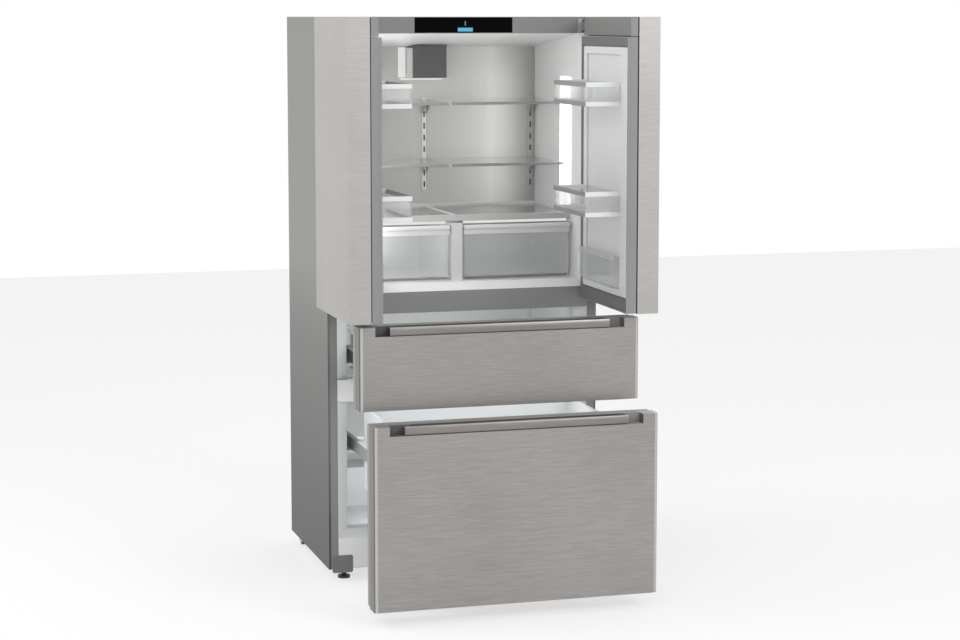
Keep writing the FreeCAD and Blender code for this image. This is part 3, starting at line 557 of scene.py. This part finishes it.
for word, side in sides:
    made(f"upright_{word}", slab((side * UPRIGHT_IN, 0, 42.5), (side * 446.8, 3, 1764.5), 0.7),
         frame_grey, "cabinet", "front_frame", slot="frame_steel")
    made(f"base_cover_{word}",
         slab((side * 375, -0.9, 27.5), (side * 443, 2.9, 85), COVER_CORNER, 5, runs_back),
         cover_dark, "cabinet")
made("beam_face", slab((-UPRIGHT_IN, 0.2, 588), (UPRIGHT_IN, 4, 659), 1.4), liner_white, "cabinet")
made("beam_body", slab((-384, 3.5, 586.5), (384, 44.8, 660.5), 1.4), liner_white, "cabinet")
made("base_sheet", slab((-422.8, 0.1, 42.3), (422.8, 2.9, 142.7), 1.0), liner_white, "cabinet",
     "base_panel", slot="grey_plastic")
made("base_vent", slab((-300, -0.6, 44), (300, 2, 62), 1.6), strip_grey, "cabinet")
tell("front frame and base panel")

# %% [markdown]
# The plate of each upper hinge has two slots, where its arm passes behind the fascia. They are
# too shallow to cut: a black strip that stands a hair proud of the plate reads as a slot, its black
# painted shade for the opening.

# %% Hinge slots
SLOT_IN, SLOT_OUT = 398, 434
SLOT_FRONT, SLOT_REAR = -8.4, -7.8

for word, side in sides:
    for level, foot, head in (("head", 1804.5, 1808.5), ("foot", 1769.5, 1773)):
        made(f"hinge_slot_{level}_{word}",
             slab((side * SLOT_IN, SLOT_FRONT, foot), (side * SLOT_OUT, SLOT_REAR, head), 0.2, 2),
             part_black, "cabinet")
tell("hinge slots")

# %% [markdown]
# Each open door shows its inner side. A grey frame runs round its edge, and inside it stands a white
# liner with a shallow recess that carries the bins. They are separate mouldings on the real door, so
# they are separate pieces here: rings for the frame and the liner's face, a slab for the recess.
# The doors stand open at rest, so their height is Z, their width is Y and their depth is X.

# %% Door frames and liners
FREE, PIVOT = -469.5, -34
FOOT, HEAD = 902.5, 1757
LINER_BACK = 396.4

for word, side in sides:
    body = f"door_{word}"
    made(f"door_frame_{word}",
         ring(0, (FREE, FOOT), (PIVOT, HEAD), (-404, 970), (-79, 1702), side * 421, side * 396.2, 1.2),
         strip_grey, body, f"door_{word}_inner", slot="grey_plastic")
    made(f"door_lip_{word}",
         ring(0, (FREE, FOOT), (PIVOT, HEAD), (FREE + 3.5, FOOT + 3.5), (PIVOT - 3.5, HEAD - 3.5),
              side * LINER_BACK, side * 387.4, 0.6), strip_grey, body)
    made(f"door_face_{word}",
         ring(0, (-465.5, 949), (-57, 1725), (-402, 972), (-81, 1700), side * LINER_BACK, side * 387, 4.0),
         liner_white, body)
    made(f"door_panel_{word}", slab((side * 399, -406, 968), (side * 395.8, -77, 1704), 0.8),
         liner_white, body)
tell("door frames and liners")

# %% [markdown]
# A darker band marks the seal along the top, the foot and the hinge side of the door. Above the seal
# line a thinner cap fills the door up to its top, with a pale strip along its free edge.

# %% Door bands and caps
BAND_FREE, BAND_PIVOT = -465.5, -38
BANDS = (("top", (BAND_FREE, 1726), (BAND_PIVOT, 1753)),
         ("foot", (BAND_FREE, 906.5), (BAND_PIVOT, 948)),
         ("hinge", (-56, 949), (BAND_PIVOT, 1725)))
CAP_FOOT, CAP_HEAD = 1758.8, 1816.4
CAP_OUT, CAP_IN = 420.8, 397

for word, side in sides:
    body = f"door_{word}"
    for place, low, high in BANDS:
        made(f"door_band_{place}_{word}", slab((side * 396, *low), (side * 387.6, *high), 1.2),
             seal_grey, body)
    made(f"door_cap_{word}",
         slab((side * CAP_OUT, FREE, CAP_FOOT), (side * CAP_IN, -72, CAP_HEAD), 1.2), frame_grey, body)
    made(f"door_cap_edge_{word}",
         slab((side * 420.9, -469.9, 1758.7), (side * 397.2, -467, CAP_HEAD), 0.8), strip_grey, body)
    made(f"door_cap_end_{word}",
         slab((side * CAP_OUT, -72.5, CAP_FOOT), (side * CAP_IN, -34.2, 1810), 1.2), frame_grey, body)
tell("door bands and caps")

# %% [markdown]
# The bins hang in the recess. Each is a clear tray. The upper two carry a satin bar along the front,
# once at the rim and once at the foot, and white bars at their ends. The lowest one only has a rim.

# %% Door bins
BIN_FREE, BIN_PIVOT = -398.5, -83.5
BIN_WALL = 395.4
BAR = 15
BINS = (("upper", 1542, 1626, 9), ("middle", 1199, 1290, 12))

for word, side in sides:
    body = f"door_{word}"
    for place, low, high, drop in BINS:
        mark = f"{place}_{word}"
        top = high - drop
        made(f"bin_tray_{mark}",
             tray((side * 277, BIN_FREE, low), (side * BIN_WALL, BIN_PIVOT, top - 4), 2.2, 12),
             bin_clear, body, f"bin_{mark}", slot="clear_plastic")
        for level, foot, head in (("rim", top - BAR, top), ("foot", low + 0.3, low + BAR)):
            made(f"bin_{level}_bar_{mark}",
                 slab((side * 275.7, -396, foot), (side * 280, -86, head), 1.8), beam_grey, body)
            for end, near, far in (("free", -399.8, -395.2), ("pivot", -86.8, -82.2)):
                made(f"bin_{level}_{end}_{mark}",
                     slab((side * 276.5, near, foot), (side * 395.5, far, head), 1.8),
                     liner_white, body)
    made(f"bin_tray_lower_{word}",
         tray((side * 367, BIN_FREE, 977.5), (side * BIN_WALL, BIN_PIVOT, 1070), 2.0, 4),
         bin_clear, body, f"bin_lower_{word}", slot="clear_plastic")
    made(f"bin_rim_lower_{word}", slab((side * 366.3, -399.5, 1062), (side * 371, -82.5, 1077.5), 1.6),
         trim_grey, body)
tell("door bins")

# %% [markdown]
# Each half shelf is a glass plate in a thin front trim. Two short brackets reach forward from the
# slotted rails of the back wall, deep at the rail and swept up to a thin tip, like a claw. A power
# of the way along gives that sweep.

# %% Shelves
TIP, RAIL_FACE = 403.8, 493.8
REACH = 90.0
TIP_DEPTH, ROOT_DEPTH = 6, 42
SWEEP = 2.2
STEPS = 8


def bracket(low_x, high_x, top):
    """A bracket blade: forty-eight deep at the rail, with a hollow sweep up to its tip."""
    under = [(TIP + REACH * step / STEPS, top - TIP_DEPTH - ROOT_DEPTH * (step / STEPS) ** SWEEP)
             for step in range(STEPS + 1)]
    return drawn([(RAIL_FACE, top), (TIP, top), *under], low_x, high_x)


for word, side in sides:
    for level, top in (("upper", 1538.6), ("lower", 1336.0)):
        mark = f"{level}_{word}"
        made(f"shelf_plate_{mark}", slab((side * 6.5, 160, top - 4), (side * 390.5, 492.5, top), 0.8),
             shelf_glass, "cabinet", f"shelf_{mark}", slot="glass")
        made(f"shelf_front_{mark}", slab((side * 6, 154, top - 9), (side * 391, 162.5, top), 1.8),
             beam_grey, "cabinet")
        for near, far in ((6.4, 9.6), (380.4, 383.6)):
            made(f"shelf_bracket_{mark}_{int(near)}",
                 bracket(*sorted((side * near, side * far)), top - 4.2), zinc, "cabinet")
tell("shelves")

# %% [markdown]
# A wide glass cover closes the crispers. It has a grey band in front, a white seam in the middle and
# a white strip at the wall, and below its front edge a thin light shines onto the crispers.

# %% Crisper cover
COVER_HALF = 397
COVER_TOP = 1172
COVER_REAR = 484

made("cover_glass", slab((-396.5, 113, 1167.2), (396.5, 488, COVER_TOP), 0.9), shelf_glass, "cabinet",
     "crisper_cover", slot="glass")
made("cover_front_band", slab((-COVER_HALF, 110, 1151.5), (COVER_HALF, 115.5, COVER_TOP), 1.6),
     trim_grey, "cabinet")
made("cover_rear_strip", slab((-COVER_HALF, COVER_REAR, 1164), (COVER_HALF, 499.5, 1180), 1.5),
     liner_white, "cabinet")
made("cover_seam", slab((-4, 115.6, 1168), (4, COVER_REAR, 1173.4), 0.8), liner_white, "cabinet")
for word, side in sides:
    made(f"cover_light_{word}", slab((side * 30, 113, 1142.5), (side * 388, 120, 1151), 1.5),
         glow_white, "cabinet")
tell("crisper cover")

# %% [markdown]
# The crispers are clear drawers with a white grip along the top. The tray's corners are wide, as a
# mould needs, and a ring along its rim shows where the clear wall is thickened. All of it rides on
# the crisper's own body, so it comes out with it.

# %% Crispers
FRONT_IN, FRONT_OUT = 24, 390
FRONT_REAR = 92.5

for word, side in sides:
    body = f"crisper_{word}"
    made(f"crisper_bin_{word}", tray((side * 20.5, 90.5, 961), (side * 395.5, 477.5, 1138), 2.4, 16),
         crisper_clear, body, f"crisper_{word}", slot="clear_plastic")
    made(f"crisper_grip_{word}",
         slab((side * FRONT_IN, 78.5, 1126.5), (side * FRONT_OUT, FRONT_REAR, 1139.5), 3.0),
         liner_white, body)
    made(f"crisper_apron_{word}",
         slab((side * FRONT_IN, 87.5, 1108), (side * FRONT_OUT, FRONT_REAR, 1130), 1.6),
         liner_white, body)
    made(f"crisper_rim_{word}",
         ring(2, *ordered((side * 20, 90), (side * 396, 478)), *ordered((side * 25, 95), (side * 391, 473)),
              1132, 1139.8, 1.4), trim_grey, body)
    made(f"crisper_foot_{word}", slab((side * 34, 91.2, 963), (side * 382, 95.2, 970), 1.4), strip_grey,
         body)
tell("crispers")

# %% [markdown]
# The fan hood stands on the back wall: a light moulded box with a dark glass front. A ring makes the
# box, as it is open to the front. Air leaves through slots in its sides and foot, so the front plate
# has a narrow gap all round. A thin glowing strip lies under its foot, and a glowing strip on the wall
# at its left is painted light, the bright streak that the wall shows there.

# %% Fan hood
HOOD_FOOT = 1612
WALL_FACE = 499.5
SLAT_STEP = 17

made("fan_hood_shell",
     ring(1, (-60.5, 1610.5), (60.5, 1713.5), (-56.5, 1614.5), (56.5, 1709.5), 424, WALL_FACE, 1.5),
     liner_white, "cabinet", "fan_housing", slot="dark_plastic")
made("fan_hood_glass", slab((-59, 419.3, HOOD_FOOT), (60, 425, 1722), 1.2), black_glass, "cabinet")
# Painted light: a glowing strip on the wall for the bright streak beside the hood.
made("fan_hood_painted_glow", slab((-90, 496.5, HOOD_FOOT), (-64, 499.6, 1714), 1.2), glow_white, "cabinet")
made("fan_hood_foot_light", slab((-84, 470, 1604), (58, WALL_FACE, 1609.5), 1.2), glow_white, "cabinet")
for row in range(4):
    front = 428 + row * SLAT_STEP
    made(f"fan_hood_slat_{row}", slab((-57, front, HOOD_FOOT), (57, front + 3, 1617), 0.9),
         trim_grey, "cabinet")
tell("fan hood")

# %% [markdown]
# Three slotted rails run up the back wall. Each is a pale strip with a row of slots, which take
# the hooks of the shelf brackets. The strips lie on the wall as thin slabs, and so do the slots, in black
# as painted shade for the openings.

# %% Shelf rails
STRIP_HALF, SLOT_HALF = 6.5, 2.6
SLOT_FOOT, SLOT_LONG, SLOT_PITCH = 1236, 20, 40
RAILS = ((-382, trim_grey), (0, wall_white), (382, trim_grey))

for number, (middle, strip) in enumerate(RAILS):
    made(f"rail_strip_{number}",
         slab((middle - STRIP_HALF, 493.3, 1226), (middle + STRIP_HALF, 494.6, 1543), 0.5),
         strip, "cabinet")
    for slot in range(8):
        foot = SLOT_FOOT + slot * SLOT_PITCH
        made(f"rail_slot_{number}_{slot}",
             slab((middle - SLOT_HALF, 493.0, foot), (middle + SLOT_HALF, 493.6, foot + SLOT_LONG), 0.2, 2),
             part_black, "cabinet")
tell("shelf rails")

# %% [markdown]
# The handle is a bar set in a notch along the top edge of each drawer front. Its face is gently
# bowed, it stands clear of the notch wall, and a post near either end ties it to the steel. A circle
# of 40 mm gives the bow, and the section is then drawn out along X.

# %% Handle bars
FRONTS = (("drawer_upper", -421.0, 883.5), ("drawer_lower", -597.0, 609.5))
BOW = 40
BOW_MIDDLE = -15
BOW_LEVELS = (-28, -26, -23, -20, -17, -15, -13, -10, -7, -4, -2)
BAR_BACK = [(13.2, -2.0), (14.0, -3.0), (14.0, -27.0), (13.2, -28.0)]
BAR_HALF = 353.0


def grip_bar(face, high):
    """The bar of the front whose face and upper edge are given."""
    bowed = [(BOW + 2 - math.sqrt(BOW ** 2 - (level - BOW_MIDDLE) ** 2), level) for level in BOW_LEVELS]
    return drawn([(face + back, high + up) for back, up in BAR_BACK + bowed], -BAR_HALF, BAR_HALF)


for drawer, face, high in FRONTS:
    made(f"{drawer}_grip", grip_bar(face, high), bar_steel, drawer, f"{drawer}_handle",
         slot="front_steel")
    for word, side in sides:
        # The posts are dark plastic; their near-black is partly their own colour and partly painted shade
        # of the notch.
        made(f"{drawer}_grip_post_{word}",
             slab((side * 329, face + 13.5, high - 27), (side * 352.8, face + 34.5, high - 3), 1.6),
             notch_painted_shade, drawer)
tell("handle bars")

# %% [markdown]
# The notch behind the bar has a thin grey lining on its foot and its wall. Behind the bar it is painted
# dark as shade; at the end that lies open, past the right post, it keeps its lit grey.

# %% Notch linings
# The long lining takes the painted shade, the open end the lit grey.
LININGS = (("long", -399.6, 345, notch_painted_shade), ("end", 345.2, 399.6, strip_grey))

for drawer, face, high in FRONTS:
    for word, near, far, lining in LININGS:
        made(f"{drawer}_notch_foot_{word}",
             slab((near, face + 0.8, high - 28.9), (far, face + 34.6, high - 28.3), 0.2),
             lining, drawer)
        made(f"{drawer}_notch_wall_{word}",
             slab((near, face + 33.6, high - 28.6), (far, face + 34.9, high - 0.6), 0.4),
             lining, drawer)
tell("notch linings")

# %% [markdown]
# The control panel is a strip of black glass. A plain bar of light and a small dot in it show that
# it is on, and keep it generic. Both are thin plates on the glass with a finish that glows.

# %% Display
DISPLAY_FRONT, DISPLAY_REAR = -1.3, -0.9

made("display_field", slab((-20, DISPLAY_FRONT, 1771), (30, DISPLAY_REAR, 1783), 0.1, 1),
     display_blue, "cabinet")
made("display_dot", slab((3, DISPLAY_FRONT, 1790), (7, DISPLAY_REAR, 1804), 0.1, 1),
     display_white, "cabinet")
tell("display")

# %% [markdown]
# The camera stands where the photographer's did: 16 degrees to the left of the front, at the height
# of the cabinet's top, with a long lens. It looks down a little, and a small shift of the lens sets
# the object as high in the frame as the photograph has it.

# %% Camera
PHOTO_WIDTH = 960
FOCAL = 2254.552
SENSOR = 36.0
LOOK_DOWN, TURN = 6.457, 16.448

eye = bpy.data.cameras.new("camera")
eye.sensor_width = SENSOR
eye.lens = FOCAL / PHOTO_WIDTH * SENSOR
eye.shift_y = -0.05
camera = bpy.data.objects.new("camera", eye)
camera.location = (-2.007972, -6.98535, 1.81764)
camera.rotation_euler = (math.radians(90 - LOOK_DOWN), 0, math.radians(-TURN))
bpy.context.scene.collection.objects.link(camera)
bpy.context.scene.camera = camera
bpy.context.scene.view_settings.view_transform = "Standard"
print("lens:", round(eye.lens, 1), "mm")

# %% [markdown]
# The world lights the object at a moderate level, while camera, mirror and glass rays see it white,
# so steel has something bright to reflect. Light Path tells the rays apart, and a Mix Shader picks
# between the two. The floor uses the same trick in part: it glows white for those rays, but only by
# a share, so that it keeps the object's shadow.

# %% World
WHITE = (1, 1, 1)
WORLD_LIGHT = 0.72


def show_white(nodes, output, white, share=1.0):
    """Mixes white in for the rays that show the background, and sends the result to the output."""
    camera_ray, mirror_ray, glass_ray = [nodes.node("ShaderNodeLightPath", output=ray) for ray in (
        "Is Camera Ray", "Is Glossy Ray", "Is Transmission Ray")]
    seen = camera_ray.maths("MAXIMUM", mirror_ray).maths("MAXIMUM", glass_ray)
    mixed = nodes.node("ShaderNodeMixShader", {}, {
        0: seen * share, 1: Wire(nodes, nodes.shader.outputs[0]), 2: white})
    nodes.join(nodes.tree.nodes[output].inputs["Surface"], mixed)


world = bpy.data.worlds.new("studio")
bpy.context.scene.world = world
sky = Nodes(world, "Background", Color=WHITE, Strength=WORLD_LIGHT)
show_white(sky, "World Output", sky.node("ShaderNodeBackground", {}, {"Color": WHITE, "Strength": 1.0}))
print("world light:", WORLD_LIGHT)

# %% [markdown]
# The floor is a plain pale slab, far wider than the view.

# %% Floor
FLOOR_HALF, FLOOR_THICK = 9000, 20
FLOOR_TINT = (0.97, 0.97, 0.97)
FLOOR_SHARE = 0.6

paint = Finish("floor_paint", Base_Color=FLOOR_TINT, Roughness=0.9)
glow = paint.node("ShaderNodeEmission", {}, {"Color": WHITE, "Strength": 1.0})
show_white(paint, "Material Output", glow, FLOOR_SHARE)
floor = laid_out("floor", slab((-FLOOR_HALF, -FLOOR_HALF, -FLOOR_THICK), (FLOOR_HALF, FLOOR_HALF, 0), 0),
                 paint.material)
print("floor:", 2 * FLOOR_HALF * MM, "m wide")

# %% [markdown]
# Large soft lamps give the fronts their slow fall from top to bottom, as in a studio. The small ones
# stand for the lamps that a refrigerator has inside, which light the liners from within. Each lamp
# is a rectangle that looks at a target, and the camera doesn't see it.

# %% Lamps
def lamp(name, place, target, width, height, power):
    """A soft lamp: place and target in metres, power in watts."""
    source = bpy.data.lights.new(name, "AREA")
    source.shape = "RECTANGLE"
    source.size, source.size_y, source.energy = width, height, power
    hung = bpy.data.objects.new(name, source)
    hung.location = place
    hung.visible_camera = False
    hung.rotation_euler = (Vector(target) - Vector(place)).to_track_quat("-Z", "Y").to_euler()
    bpy.context.scene.collection.objects.link(hung)


lamp("key", (3.0, -5.4, 3.9), (0.1, -0.3, 1.2), 2.6, 2.0, 110)
lamp("fill", (-2.6, -5.4, 3.6), (0, 0, 1.2), 3.0, 1.6, 50)
lamp("side", (-3.6, 0.6, 3.3), (-0.45, 0.2, 1.7), 1.6, 1.2, 46)
lamp("cold_upper", (0, 0.06, 0.86), (0, 0.45, 0.76), 0.5, 0.05, 1.0)
lamp("cold_lower", (0, -0.2, 0.62), (0, -0.16, 0.3), 0.66, 0.2, 0.85)
lamp("cold_rear", (-0.2, 0.08, 0.33), (-0.22, 0.5, 0.33), 0.3, 0.3, 0.4)
lamp("cold_left", (-0.385, -0.3, 0.34), (-0.385, 0.3, 0.34), 0.04, 0.44, 0.2)
lamp("fridge", (-0.3, 0.12, 1.37), (0.42, 0.2, 1.4), 0.3, 0.7, 1.6)
lamp("ceiling", (0, 0.16, 1.56), (0.02, 0.18, 1.8), 0.6, 0.3, 0.12)
print("lamps:", len(bpy.data.lights))
